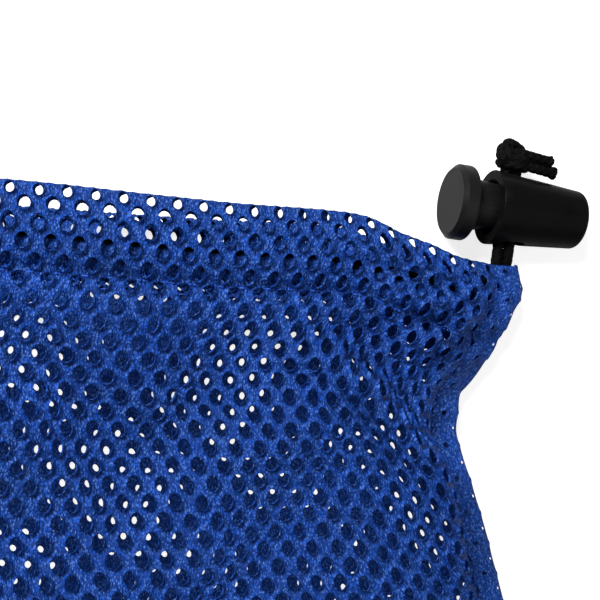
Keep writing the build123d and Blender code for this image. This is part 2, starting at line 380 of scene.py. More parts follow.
class ClothMap:
    """A sheet's middle surface on an even grid of the flat cloth, read smoothly between its points."""

    def __init__(self, surface, length, growth, room, step=4.5, margin=9.0):
        self.step = step
        self.start = np.array([-margin, -margin])
        self.s = np.arange(-margin, 2 * HALF + margin + step, step)
        self.a = np.arange(-margin, length + margin + step, step)
        s, a = np.meshgrid(self.s, self.a)
        self.points = surface(s, a)
        # held at the hem, the seams and the foot, and freest where the bag is full and far from the lock
        inside = np.minimum(np.minimum(s, 2 * HALF - s), length - a)
        free = smooth(inside, 3, 26) * smooth(a, 17, 48)
        corner = np.exp(-(np.maximum(s, 0) ** 2 + np.maximum(a, 0) ** 2) / (2 * 55.0**2))
        height = fullness(self.points[..., 0], self.points[..., 1])
        reach = free * np.minimum(16.0 - 13.0 * corner, room * np.maximum(height - 4, 0))
        self.points = settled(self.points, np.where(free > 0.02, 0.0, 1.0), reach, growth)

    def at(self, s, a):
        """Where places of the flat cloth lie."""
        fs, fa = (s - self.start[0]) / self.step, (a - self.start[1]) / self.step
        i = np.clip(fs.astype(int), 1, len(self.s) - 3)
        j = np.clip(fa.astype(int), 1, len(self.a) - 3)
        ws, wa = self.weights(fs - i), self.weights(fa - j)
        total = 0
        for m in range(4):
            for n in range(4):
                total = total + (wa[m] * ws[n])[..., None] * self.points[j + m - 1, i + n - 1]
        return total

    @staticmethod
    def weights(u):
        """Of the four nearest points, on a smooth line through the middle two."""
        return (
            (-u + 2 * u**2 - u**3) / 2,
            (2 - 5 * u**2 + 3 * u**3) / 2,
            (u + 4 * u**2 - 3 * u**3) / 2,
            (u**3 - u**2) / 2,
        )


class Sheet:
    """One panel of the bag, with its hem folded over at the mouth. t is cloth length from the fold."""

    def __init__(self, surface, up, depth, length, growth, room):
        self.map = ClothMap(surface, length, growth, room)
        self.up = up  # 1 where the outside faces up, -1 where it faces down
        self.profile = hem_profile(depth)
        self.stitch = self.profile[0][-1]
        self.length = length

    def place(self, s, t, layer=0.0):
        """Where a place of the cloth lies; t under 0 is the layer inside the hem."""
        span, inward, half = self.profile
        near = np.minimum(np.abs(t), self.stitch)
        a = np.interp(near, span, inward) + np.maximum(np.abs(t) - self.stitch, 0)
        side = np.where(t >= 0, 1.0, -1.0)
        s = s + through(LAYER_SLIP, s) * smooth(-t, -0.6, 1.7)
        height = side * np.interp(near, span, half)
        groove = GROOVE_DEPTH * np.exp(-(((t - self.stitch) / GROOVE_WIDTH) ** 2))
        rest = 1 - 0.75 * smooth(t, self.stitch, self.stitch + 14)
        height = height * rest - groove - layer
        point = self.map.at(np.maximum(s, WRAP_START) if self.up > 0 else s, a)
        if self.up > 0:
            roll = np.maximum(WRAP_START - s, 0) / WRAP_TURN
            point[..., 1] -= WRAP_OUT * np.sin(roll)
            point[..., 2] -= WRAP_DROP * (1 - np.cos(roll))
            crease = corner_creases(point[..., 0], point[..., 1])
            point[..., 2] += crease * smooth(t, -4, 6)
        point[..., 2] += self.up * height
        return point

    def lifted(self, s, t, lift, layer=0.0):
        """A place lifted off the cloth, out of the bag, and kept clear of the floor."""
        step = 0.4
        across = self.place(s + step, t, layer) - self.place(s - step, t, layer)
        along = self.place(s, t + step, layer) - self.place(s, t - step, layer)
        out = unit(np.cross(along, across)) * self.up
        point = self.place(s, t, layer) + out * lift[..., None]
        point[..., 2] = np.maximum(point[..., 2], FLOOR_CLEAR)
        return point


# Knitted mesh: one ring of yarn round each hole, sharing its outline with its neighbours

# Rings of points round a hole: each one's share of the way from the outline to the rim, and its lift
FINE_RINGS = [(0.0, 0.34), (0.3, 0.30), (0.62, 0.14), (0.86, -0.08), (1.0, -0.36), (0.94, -0.62)]
MEDIUM_RINGS = [(0.0, 0.28), (0.55, 0.18), (1.0, -0.32)]
# The corner's points to each side of an outline, and its rings
CORNER_DETAIL = {"front": (3, FINE_RINGS), "back": (2, MEDIUM_RINGS)}
HOLE_EASE = {"front": 1.0, "back": 0.52}  # how open the holes stand
FOLD_CLEAR = 0.4  # how far the holes beside the hem's fold stand off it


def cell_outline(fabric, parts):
    """Points on the six-sided outline between a hole and its neighbours, and on the hole's own rim."""
    half, row = fabric.pitch / 2, fabric.row
    side, top = (row**2 - half**2) / (2 * row), (row**2 + half**2) / (2 * row)
    corners = np.array([(half, -side), (half, side), (0, top), (-half, side), (-half, -side), (0, -top)])
    after = np.roll(corners, -1, axis=0)
    share = (np.arange(parts) / parts)[None, :, None]
    outline = (corners[:, None] * (1 - share) + after[:, None] * share).reshape(-1, 2)
    radii = np.array([fabric.hole_width / 2, fabric.hole_length / 2])
    turn = np.arctan2(outline[:, 1] / radii[1], outline[:, 0] / radii[0])
    hole = np.stack([radii[0] * np.cos(turn), radii[1] * np.sin(turn)], -1)
    return outline, hole


def hole_centres(fabric, low, high, keep=None):
    """Centres of the holes whose place on the flat cloth lies between two corners."""
    offset = fabric.row / 2
    first = math.ceil((low[1] - offset) / fabric.row)
    last = math.floor((high[1] - offset) / fabric.row)
    places = []
    for k in range(first, last + 1):
        shift = fabric.pitch / 2 if k % 2 else 0.0
        s = np.arange(-2, int(2 * HALF / fabric.pitch) + 4) * fabric.pitch + shift
        s = s[(s >= low[0]) & (s < high[0])]
        places.append(np.stack([s, np.full_like(s, offset + k * fabric.row)], -1))
    centres = np.concatenate(places)
    return centres if keep is None else centres[keep(centres[:, 0], centres[:, 1])]


def openness(centres):
    """How far the holes stand open: bunched cloth in the pulled corner and beside the seams closes them."""
    s, t = centres[:, 0], np.abs(centres[:, 1])
    bunched = (1 - smooth(s, 0, 13)) * (1 - smooth(t, 45, 75)) * 0.55
    seam = (1 - smooth(np.minimum(s, 2 * HALF - s), -2, 6)) * 0.8
    fold = (1 - smooth(t, 1.6, 3.5)) * 0.25
    return 1 - np.maximum(np.maximum(bunched, seam), fold)


def knit(fabric, centres, parts, rings, uneven=0.0, ease=1.0):
    """Flat places, lifts and faces of the cloth round these holes."""
    outline, hole = cell_outline(fabric, parts)
    count, around = len(centres), len(outline)
    rng = np.random.default_rng(11)
    sway = rng.normal(0, uneven, (count, 1, 2))
    sway[:, 0, 1] += FOLD_CLEAR * np.sign(centres[:, 1]) * (np.abs(centres[:, 1]) < fabric.row)
    wide_open = openness(centres)
    swell = ease * wide_open[:, None, None] * (1 + rng.normal(0, uneven * 0.9, (count, 1, 1)))
    crown = rings[0][1]
    flat, lift, ids = [], [], []
    start = 0
    for blend, height in rings:
        spots = centres[:, None] + outline * (1 - blend) + hole * swell * blend + sway * blend
        if blend == 0:
            key = np.round(spots.reshape(-1, 2) * 200).astype(np.int64)
            _, first, back = np.unique(key, axis=0, return_index=True, return_inverse=True)
            flat.append(spots.reshape(-1, 2)[first])
            lift.append(np.full(len(first), height))
            ids.append(back.reshape(count, around))
            start = len(first)
        else:
            flat.append(spots.reshape(-1, 2))
            lift.append(np.repeat(crown + (height - crown) * wide_open, around))
            ids.append(start + np.arange(count * around).reshape(count, around))
            start += count * around
    faces = []
    for outer, inner in zip(ids, ids[1:]):
        nxt_outer, nxt_inner = np.roll(outer, -1, axis=1), np.roll(inner, -1, axis=1)
        faces.append(np.stack([outer, nxt_outer, nxt_inner, inner], -1).reshape(-1, 4))
    return np.concatenate(flat), np.concatenate(lift), np.concatenate(faces)


def sheet_mesh(name, sheet, flat, lift, faces, layer=0.0):
    """A mesh of cloth that lies where the sheet puts it, with its flat places kept for the weave."""
    points = sheet.lifted(flat[:, 0], flat[:, 1], lift, layer)
    if sheet.up > 0:
        faces = faces[:, ::-1]
    return new_mesh(name, points, faces, flat)


def new_mesh(name, points, faces, flat=None):
    """A mesh object from millimetre points. flat gives each point's place on the uncut cloth."""
    mesh = bpy.data.meshes.new(name)
    faces = np.asarray(faces, np.int32)
    sides = faces.shape[1]
    mesh.vertices.add(len(points))
    mesh.vertices.foreach_set("co", (np.asarray(points) * MM).astype(np.float32).ravel())
    mesh.loops.add(faces.size)
    mesh.loops.foreach_set("vertex_index", faces.ravel())
    mesh.polygons.add(len(faces))
    mesh.polygons.foreach_set("loop_start", np.arange(0, faces.size, sides, dtype=np.int32))
    mesh.polygons.foreach_set("use_smooth", np.full(len(faces), True))
    mesh.update(calc_edges=True)
    if flat is not None:
        low, size = flat.min(0), np.ptp(flat, axis=0)
        for layer_name, place in (("OFBake", (flat - low) / size * 0.98 + 0.01), ("Cloth", flat / 10)):
            layer = mesh.uv_layers.new(name=layer_name)
            layer.data.foreach_set("uv", place[faces.ravel()].astype(np.float32).ravel())
    piece = bpy.data.objects.new(name, mesh)
    bpy.context.scene.collection.objects.link(piece)
    return piece


def sweep(centres, section):
    """Points and faces of a tube with closed ends; section holds each ring's offsets from its centre."""
    centres = np.concatenate([centres[:1], centres, centres[-1:]])
    section = np.concatenate([section[:1] * 0.02, section, section[-1:] * 0.02])
    count, around = section.shape[:2]
    points = (centres[:, None] + section).reshape(-1, 3)
    ids = np.arange(count * around).reshape(count, around)
    nxt = np.roll(ids, -1, axis=1)
    faces = np.stack([ids[:-1], nxt[:-1], nxt[1:], ids[1:]], -1).reshape(-1, 4)
    return points, faces


def joined(parts):
    """Several tubes' points and faces as one."""
    points, faces, base = [], [], 0
    for part_points, part_faces in parts:
        points.append(part_points)
        faces.append(part_faces + base)
        base += len(part_points)
    return np.concatenate(points), np.concatenate(faces)


def travelling_axes(line):
    """Two directions square to a line at each of its points, turning as little as they can."""
    along = unit(np.gradient(line, axis=0))
    first = np.cross(along[0], (0.3, 0.2, 1.0))
    sides = [first / np.linalg.norm(first)]
    for tangent in along[1:]:
        side = sides[-1] - tangent * np.dot(sides[-1], tangent)
        sides.append(side / np.linalg.norm(side))
    sides = np.array(sides)
    return sides, np.cross(along, sides)


def tube(line, radius, around):
    """A tube along a line; its radius is one number, or one for each point and turn."""
    side, up = travelling_axes(line)
    turn = turns_round(around)
    across, rise = (np.cos(turn) * radius)[..., None], (np.sin(turn) * radius)[..., None]
    return sweep(line, side[:, None] * across + up[:, None] * rise)


def nurbs_line(route, spacing):
    """Even points along the smooth cord line that a route of control points gives, in millimetres."""
    curve = bpy.data.curves.new("route", "CURVE")
    curve.dimensions = "3D"
    curve.resolution_u = 24
    spline = curve.splines.new("NURBS")
    spline.points.add(len(route) - 1)
    for point, place in zip(spline.points, route):
        point.co = (*[c * MM for c in place], 1)
    spline.order_u = 3
    spline.use_endpoint_u = True
    guide = bpy.data.objects.new("route", curve)
    drawn = bpy.data.meshes.new_from_object(guide)
    line = np.array([v.co for v in drawn.vertices]) / MM
    bpy.data.meshes.remove(drawn)
    bpy.data.objects.remove(guide)
    bpy.data.curves.remove(curve)
    length = distance_along(line)
    even = np.linspace(0, length[-1], max(8, int(length[-1] / spacing)))
    return np.stack([np.interp(even, length, line[:, k]) for k in range(3)], -1)


# Materials


class Nodes:
    """A material's node tree, written one node at a time."""

    def __init__(self, name):
        self.material = bpy.data.materials.new(name)
        self.material.use_nodes = True
        self.tree = self.material.node_tree
        self.shader = self.tree.nodes["Principled BSDF"]

    def add(self, kind, inputs=None, **settings):
        """A new node. Its inputs take values or other nodes' outputs."""
        node = self.tree.nodes.new(kind)
        for key, value in settings.items():
            setattr(node, key, value)
        for key, value in (inputs or {}).items():
            if isinstance(value, bpy.types.NodeSocket):
                self.tree.links.new(value, node.inputs[key])
            else:
                node.inputs[key].default_value = value
        return node

    def link(self, source, target):
        """Joins an output to an input."""
        self.tree.links.new(source, target)

    def finish(self, values):
        """Sets the shader's own sockets by name."""
        for name, value in values.items():
            self.shader.inputs[name].default_value = value

    def ramp(self, value, stops):
        """Colours that follow a value between (place, colour) stops."""
        node = self.add("ShaderNodeValToRGB", {"Fac": value})
        elements = node.color_ramp.elements
        while len(elements) < len(stops):
            elements.new(0.5)
        for element, (place, colour) in zip(elements, stops):
            element.position = place
            element.color = (*colour, 1)
        return node.outputs["Color"]

    def bump(self, height, distance, strength, under=None):
        """Fine relief, over another one where it's given."""
        inputs = {"Height": height, "Distance": distance, "Strength": strength}
        if under is not None:
            inputs["Normal"] = under
        return self.add("ShaderNodeBump", inputs).outputs["Normal"]


def grey(value):
    """A grey of this brightness."""
    return (value, value, value)


def shade(colour, level):
    """A colour made lighter or darker."""
    return tuple(channel * level for channel in colour)


def knit_material(fabric):
    """Knitted polyester: uneven dye, painted shade in the valleys between loops, painted glints on short rows
    of loops, and a soft shine.
    """
    n = Nodes("blue_knit")
    place = n.add("ShaderNodeUVMap", uv_map="Cloth").outputs["UV"]
    sway = n.add("ShaderNodeTexNoise", {"Vector": place, "Scale": 7.0, "Detail": 2.0}).outputs["Color"]
    bent = n.add("ShaderNodeMixRGB", {"Fac": 0.06, "Color1": place, "Color2": sway}).outputs["Color"]
    loops_at = n.add("ShaderNodeMapping", {"Vector": bent, "Scale": (32.0, 19.0, 1.0)}).outputs["Vector"]
    loops = n.add("ShaderNodeTexVoronoi", {"Vector": loops_at, "Scale": 1.0, "Randomness": 0.85})
    fibre_at = n.add("ShaderNodeMapping", {"Vector": bent, "Scale": (90.0, 34.0, 1.0)}).outputs["Vector"]
    fibre = n.add("ShaderNodeTexNoise", {"Vector": fibre_at, "Scale": 1.0, "Detail": 3.0}).outputs["Fac"]
    dye = n.add("ShaderNodeTexNoise", {"Vector": place, "Scale": 0.9, "Detail": 4.0}).outputs["Fac"]
    base = n.ramp(dye, [(0.3, shade(fabric.colour, 0.62)), (0.7, shade(fabric.colour, 1.35))])
    crown = n.ramp(loops.outputs["Distance"], [(0.0, grey(1.0)), (0.34, grey(0.45)), (0.62, grey(0.0))])
    # Painted shade: the colour darkens to three tenths towards the edges of each loop, where the valleys
    # between loops lie
    painted_valley_shade = (*shade(fabric.colour, 0.3), 1)
    base_with_painted_shade = n.add("ShaderNodeMixRGB", {"Fac": crown, "Color1": painted_valley_shade, "Color2": base}).outputs["Color"]
    # Painted highlight: chosen loops, along streaks of fibre and at their crowns, are painted in the glint
    # colour
    lucky = n.add("ShaderNodeSeparateColor", {"Color": loops.outputs["Color"]}).outputs["Red"]
    chosen = n.ramp(lucky, [(0.35, grey(0.0)), (0.75, grey(1.0))])
    streak = n.ramp(fibre, [(0.4, grey(0.25)), (0.58, grey(1.0))])
    both = n.add("ShaderNodeMath", {0: chosen, 1: streak}, operation="MULTIPLY").outputs[0]
    spark = n.add("ShaderNodeMath", {0: both, 1: crown}, operation="MULTIPLY").outputs[0]
    colour = n.add("ShaderNodeMixRGB", {"Fac": spark, "Color1": base_with_painted_shade, "Color2": (*fabric.light, 1)})
    n.link(colour.outputs["Color"], n.shader.inputs["Base Color"])
    n.link(n.ramp(spark, [(0.0, grey(0.62)), (1.0, grey(0.3))]), n.shader.inputs["Roughness"])
    height = n.add("ShaderNodeMath", {0: loops.outputs["Distance"], 1: -1.0}, operation="MULTIPLY").outputs[0]
    coarse = n.bump(height, 0.00028, 0.9)
    n.link(n.bump(fibre, 0.00008, 0.6, coarse), n.shader.inputs["Normal"])
    n.finish({"Sheen Weight": 0.05, "Sheen Roughness": 0.4, "Sheen Tint": (0.05, 0.2, 1.0, 1)})
    n.finish({"Specular IOR Level": 0.14})
    return n.material


def thread_material(fabric):
    """Twisted polyester thread, a shade darker than the knit."""
    n = Nodes("twisted_thread")
    place = n.add("ShaderNodeTexCoord").outputs["Object"]
    twist = n.add("ShaderNodeTexNoise", {"Vector": place, "Scale": 3600.0, "Detail": 2.0}).outputs["Fac"]
    dyed = n.ramp(twist, [(0.3, shade(fabric.colour, 0.55)), (0.7, shade(fabric.colour, 1.1))])
    n.link(dyed, n.shader.inputs["Base Color"])
    n.link(n.ramp(twist, [(0.3, grey(0.5)), (0.7, grey(0.7))]), n.shader.inputs["Roughness"])
    n.link(n.bump(twist, 0.00006, 0.7), n.shader.inputs["Normal"])
    return n.material


def braid_material(cord):
    """Black braided polyester with a few worn, paler fibres."""
    n = Nodes("black_braid")
    place = n.add("ShaderNodeTexCoord").outputs["Object"]
    fibre = n.add("ShaderNodeTexNoise", {"Vector": place, "Scale": 5200.0, "Detail": 3.0}).outputs["Fac"]
    patch = n.add("ShaderNodeTexNoise", {"Vector": place, "Scale": 260.0, "Detail": 2.0}).outputs["Fac"]
    worn = n.add("ShaderNodeMath", {0: fibre, 1: patch}, operation="MULTIPLY").outputs[0]
    dyed = n.ramp(worn, [(0.2, cord.colour), (0.5, shade(cord.colour, 4))])
    n.link(dyed, n.shader.inputs["Base Color"])
    n.link(n.ramp(fibre, [(0.3, grey(0.5)), (0.7, grey(0.75))]), n.shader.inputs["Roughness"])
    n.link(n.bump(fibre, 0.00006, 0.8), n.shader.inputs["Normal"])
    n.finish({"Specular IOR Level": 0.05})
    return n.material


def plastic_material(name, colour, rough, shine):
    """Moulded plastic: a fine spark-eroded grain, faint flow marks, and edges rubbed smoother."""
    n = Nodes(name)
    place = n.add("ShaderNodeTexCoord").outputs["Object"]
    grain = n.add("ShaderNodeTexNoise", {"Vector": place, "Scale": 3200.0, "Detail": 2.0}).outputs["Fac"]
    flow = n.add("ShaderNodeTexNoise", {"Vector": place, "Scale": 140.0, "Detail": 3.0}).outputs["Fac"]
    edge = n.add("ShaderNodeNewGeometry").outputs["Pointiness"]
    rubbed = n.ramp(edge, [(0.5, grey(0.0)), (0.58, grey(1.0))])
    tint = n.ramp(flow, [(0.35, shade(colour, 0.8)), (0.7, shade(colour, 1.35))])
    worn = (*shade(colour, 2.6), 1)
    mixed = n.add("ShaderNodeMixRGB", {"Fac": rubbed, "Color1": tint, "Color2": worn}).outputs["Color"]
    n.link(mixed, n.shader.inputs["Base Color"])
    matt = n.ramp(flow, [(0.3, grey(rough - 0.05)), (0.7, grey(rough + 0.07))])
    smoother = (*grey(rough - 0.1), 1)
    mixed = n.add("ShaderNodeMixRGB", {"Fac": rubbed, "Color1": matt, "Color2": smoother}).outputs["Color"]
    n.link(mixed, n.shader.inputs["Roughness"])
    n.link(n.bump(grain, 0.00003, 0.5), n.shader.inputs["Normal"])
    n.finish({"Specular IOR Level": shine})
    return n.material


def spring_material():
    """Drawn steel wire."""
    n = Nodes("drawn_spring_wire")
    place = n.add("ShaderNodeTexCoord").outputs["Object"]
    drawn = n.add("ShaderNodeTexNoise", {"Vector": place, "Scale": 4000.0, "Detail": 2.0}).outputs["Fac"]
    n.link(n.ramp(drawn, [(0.3, grey(0.42)), (0.7, grey(0.62))]), n.shader.inputs["Base Color"])
    n.link(n.ramp(drawn, [(0.3, grey(0.25)), (0.7, grey(0.4))]), n.shader.inputs["Roughness"])
    n.finish({"Metallic": 1.0})
    return n.material


def finish_piece(piece, material, body, slot, *nodes):
    """Gives a piece its finish, its body and the frame nodes that it stands for."""
    piece.data.materials.append(material)
    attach(piece, body)
    if nodes:
        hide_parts(*nodes)
    return piece


def shared_material(name, make, settings):
    """A material that several pieces share, made once."""
    return bpy.data.materials.get(name) or make(settings)


def knit_cloth(context):
    """The knit's material."""
    return shared_material("blue_knit", knit_material, context.scene.bag_fabric)


def sewing_thread(context):
    """The stitches' and overlock loops' material."""
    return shared_material("twisted_thread", thread_material, context.scene.bag_fabric)


def black_braid(context):
    """The drawcord's and knot's material."""
    return shared_material("black_braid", braid_material, context.scene.bag_cord)


# Panels and hems

# A sheet's surface, which way its outside faces, how much the cloth grows as it settles, and how much of the
# room inside the bag it may use for that
SHEET_KINDS = {"front": (front_surface, 1, 0.06, 0.5), "back": (back_surface, -1, 0.03, 0.15)}
SHEETS = {}


def panel(context, which):
    """The front or back sheet, made once."""
    if which not in SHEETS:
        surface, up, growth, room = SHEET_KINDS[which]
        SHEETS[which] = Sheet(surface, up, context.scene.bag_shape.hem_depth, MOUTH - FOOT, growth, room)
    return SHEETS[which]


PANEL_BANDS = ("upper", "middle", "lower")  # from the hem to the foot, so that no mesh grows too heavy


def build_panel(context, which):
    """One panel below its hem: a finely made corner, and the rest."""
    fabric, shape = context.scene.bag_fabric, context.scene.bag_shape
    sheet = panel(context, which)
    top, foot = sheet.stitch + PAST_STITCH, sheet.length - FOOT_SHORT
    split_s, split_t = shape.near_width, shape.near_length
    near = hole_centres(fabric, (CLOTH_START[which], top), (split_s, split_t))
    made = [("corner", near, *CORNER_DETAIL[which], 0.05)]
    edges = np.linspace(top, foot, len(PANEL_BANDS) + 1)
    for name, start, end in zip(PANEL_BANDS, edges, edges[1:]):
        corners = (-CLOTH_PAST, start), (2 * HALF + CLOTH_PAST, end)
        band = hole_centres(fabric, *corners, lambda s, t: (s >= split_s) | (t >= split_t))
        made.append((name, band, 1, MEDIUM_RINGS, 0.03))
    for name, centres, parts, rings, uneven in made:
        cloth = knit(fabric, centres, parts, rings, uneven, HOLE_EASE[which])
        piece = sheet_mesh(f"{which}_panel_{name}", sheet, *cloth)
        finish_piece(piece, knit_cloth(context), "bag", "mesh_fabric", f"{which}_panel")


class BAG_OT_front_panel(bpy.types.Operator):
    """Builds the front panel's knitted mesh"""

    bl_idname = "laundry_bag.front_panel"
    bl_label = "Front panel"

    def execute(self, context):
        build_panel(context, "front")
        return {"FINISHED"}


class BAG_OT_back_panel(bpy.types.Operator):
    """Builds the back panel's knitted mesh"""

    bl_idname = "laundry_bag.back_panel"
    bl_label = "Back panel"

    def execute(self, context):
        build_panel(context, "back")
        return {"FINISHED"}


def build_hem(context, which):
    """The folded hem: the outer layer, the fold, the inner layer and the raw edge turned in between them."""
    fabric, shape = context.scene.bag_fabric, context.scene.bag_shape
    sheet = panel(context, which)
    top = sheet.stitch + PAST_STITCH
    across = 2 * HALF + CLOTH_PAST
    near = hole_centres(fabric, (CLOTH_START[which], -top), (shape.near_width, top))
    far = hole_centres(fabric, (shape.near_width, -top), (across, top))
    turned = hole_centres(fabric, (-CLOTH_PAST, sheet.stitch - TURNED_IN), (across, top))
    flat, lift, faces = knit(fabric, turned, 2, MEDIUM_RINGS)
    flat = flat + (fabric.pitch / 2, 0.2)
    allowance = sheet_mesh(f"{which}_hem_allowance", sheet, flat, lift, faces, layer=0.75)
    finish_piece(allowance, knit_cloth(context), "bag", "hem_fabric", f"{which}_hem_casing")
    made = (
        ("corner", near, *CORNER_DETAIL[which], []),
        ("long", far, 2, MEDIUM_RINGS, [allowance]),
    )
    for name, centres, parts, rings, with_pieces in made:
        piece = sheet_mesh(f"{which}_hem_{name}", sheet, *knit(fabric, centres, parts, rings, 0.04))
        finish_piece(piece, knit_cloth(context), "bag", "hem_fabric", f"{which}_hem_casing")


class BAG_OT_hems(bpy.types.Operator):
    """Builds the front and back hems round the mouth"""

    bl_idname = "laundry_bag.hems"
    bl_label = "Hems"

    def execute(self, context):
        for which in ("front", "back"):
            build_hem(context, which)
        return {"FINISHED"}


STITCH_LENGTH = 2.6
STITCH_GAP = 0.5
STITCH_RISE = 0.45
STITCH_ENDS = 6  # how far from the side seams the rows stop
THREAD_RADIUS = 0.2


def stitch_row(sheet, t, start, end):
    """A row of lockstitches across a sheet, each a short thread that dips at both ends."""
    stitches = []
    for s in np.arange(start, end, STITCH_LENGTH + STITCH_GAP):
        u = np.linspace(0, 1, 7)
        lift = STITCH_RISE * np.sin(np.pi * u) ** 0.5
        line = sheet.lifted(s + u * STITCH_LENGTH, np.full_like(u, t), lift)
        stitches.append(tube(line, THREAD_RADIUS, 6))
    return joined(stitches)


class BAG_OT_hem_stitching(bpy.types.Operator):
    """Sews the two rows that close the hems"""

    bl_idname = "laundry_bag.hem_stitching"
    bl_label = "Hem stitching"

    def execute(self, context):
        for which in ("front", "back"):
            sheet = panel(context, which)
            row = stitch_row(sheet, sheet.stitch - 0.2, STITCH_ENDS, 2 * HALF - STITCH_ENDS)
            piece = new_mesh(f"{which}_hem_stitches", *row)
            finish_piece(piece, sewing_thread(context), "bag", "sewing_thread", f"{which}_hem_stitching")
        return {"FINISHED"}


# Side and bottom seams


SEAM_STEP = 1.2
SEAM_OVERRUN = 4  # how far the bottom seam runs past the cloth at each side


def seam_line(side):
    """The middle of a side seam, just outside the cloth's edge; side is -1 at the cord lock."""
    a = np.arange(1.0, MOUTH - FOOT - 1, SEAM_STEP)
    s = np.full_like(a, 0.0 if side < 0 else 2 * HALF)
    x, y = plan(s, a)
    sway = 0.35 * np.sin(a / 3.1) + 0.3 * ripple(a / 9, a * 0, 21)
    z = through(SEAM_HEIGHT, a) + 0.25 * ripple(a / 12, a * 0, 23)
    return np.stack([x, y + side * (BAND_OUT + sway), z], -1)


def seam_band(line, across):
    """A soft flattened band of bunched cloth along a line."""
    around = 20
    turn = turns_round(around)
    run = distance_along(line)
    pucker = 1 + 0.16 * np.sin(run / 0.62) * np.sin(run / 4.7 + 1) + 0.12 * ripple(run / 3.4, run * 0, 31)
    flat = np.sign(np.cos(turn)) * np.abs(np.cos(turn)) ** 0.8
    offset_across = BAND_WIDTH / 2 * flat[None, :] * (0.94 + 0.06 * pucker[:, None])
    offset_up = BAND_THICK / 2 * np.sin(turn)[None, :] * pucker[:, None]
    section = across[:, None] * offset_across[..., None] + np.array([0, 0, 1.0]) * offset_up[..., None]
    points, faces = sweep(line, section)
    run = np.concatenate([run[:1], run, run[-1:]])
    girth = np.arange(around) / around * 2 * (BAND_WIDTH + BAND_THICK)
    return points, faces, np.stack([np.tile(girth, len(run)), np.repeat(run, around)], -1)


LOOP_PITCH = 2.4
LOOP_POINTS = 12
LOOP_RADIUS = 0.17
LOOP_OVER = 0.16  # how far the loops stand off the band


def overlock(line, across):
    """Overlock thread: slanting loops over the band, knotted along its outer edge."""
    run = distance_along(line)
    u = np.arange(int(run[-1] / LOOP_PITCH) * LOOP_POINTS) / LOOP_POINTS
    along, turn = u * LOOP_PITCH, 2 * math.pi * u
    centre = np.stack([np.interp(along, run, line[:, k]) for k in range(3)], -1)
    out = unit(np.stack([np.interp(along, run, across[:, k]) for k in range(3)], -1))
    reach = BAND_WIDTH / 2 * (0.08 + 0.82 * np.cos(turn))
    height = (BAND_THICK / 2 + LOOP_OVER) * np.sin(turn)
    path = centre + out * reach[:, None] + np.array([0, 0, 1.0]) * height[:, None]
    return tube(path, LOOP_RADIUS, 5)


def build_seam(context, name, line, across, band_node, thread_node):
    """A seam's band of cloth and the overlock thread round it."""
    piece = new_mesh(f"{name}_band", *seam_band(line, across))
    finish_piece(piece, knit_cloth(context), "bag", "hem_fabric", band_node)
    piece = new_mesh(f"{name}_overlock", *overlock(line, across))
    finish_piece(piece, sewing_thread(context), "bag", "sewing_thread", thread_node)


class BAG_OT_side_seams(bpy.types.Operator):
    """Builds the two side seams and their overlock thread"""

    bl_idname = "laundry_bag.side_seams"
    bl_label = "Side seams"

    def execute(self, context):
        for side, name in ((-1, "right"), (1, "left")):
            line = seam_line(side)
            across = unit(np.cross(np.gradient(line, axis=0), (0, 0, side)))
            build_seam(context, f"{name}_seam", line, across, f"{name}_side_seam", f"{name}_overlock_thread")
        return {"FINISHED"}


class BAG_OT_bottom_seam(bpy.types.Operator):
    """Builds the bottom seam and its overlock thread"""

    bl_idname = "laundry_bag.bottom_seam"
    bl_label = "Bottom seam"

    def execute(self, context):
        y = np.arange(-HALF - SEAM_OVERRUN, HALF + SEAM_OVERRUN, SEAM_STEP)
        x = FOOT - 1.8 + 0.4 * ripple(y / 9, y * 0, 43)
        z = 1.7 + 0.2 * ripple(y / 12, y * 0, 41)
        line = np.stack([x, y, z], -1)
        across = np.tile([-1.0, 0, 0], (len(y), 1))
        build_seam(context, "bottom_seam", line, across, "bottom_seam", "bottom_overlock_thread")
        return {"FINISHED"}


# Drawcord


BARREL_RADIUS = 7.6
KNOT_GAP = 0.4  # between the barrel and the knot
KNOT_TALL = 6.2
CORDS_APART = 0.1  # between the two cords in the lock
CORD_IN_HEM = 9.3  # from the mouth's edge to the cord inside the hem
LOCK_RUN = (9.0, 1.0, -10.0)  # the cords' straight run through the lock, from its middle towards the knot


def lock_frame():
    """The cord lock's axis into the barrel, the way out along its cords, and the middle of its cross hole."""
    into = np.array(PRESS_AXIS)
    out = unit(np.cross(into, (0, 0, 1.0)) * -1)
    return into, out, KNOT_MIDDLE - out * (BARREL_RADIUS + KNOT_GAP + KNOT_TALL / 2)


def braided(line, diameter, carriers=8, splayed=False):
    """A braided tube: crossing strands stand out from it along two sets of turns."""
    around = 28
    run = distance_along(line)
    turn = turns_round(around)
    lay = 2 * math.pi * run / (diameter * 2.6)
    left = np.cos(carriers / 2 * (turn[None, :] + lay[:, None]))
    right = np.cos(carriers / 2 * (turn[None, :] - lay[:, None]))
    radius = diameter / 2 * (0.86 + 0.14 * np.maximum(left, right))
    if splayed:
        radius = radius * (1 + 0.22 * smooth(run, run[-1] - 1.6, run[-1]))[:, None]
    return tube(line, radius, around)


def casing_route(sheet, s):
    """Where the cord lies inside a hem."""
    return sheet.map.at(s, np.full_like(s, CORD_IN_HEM))


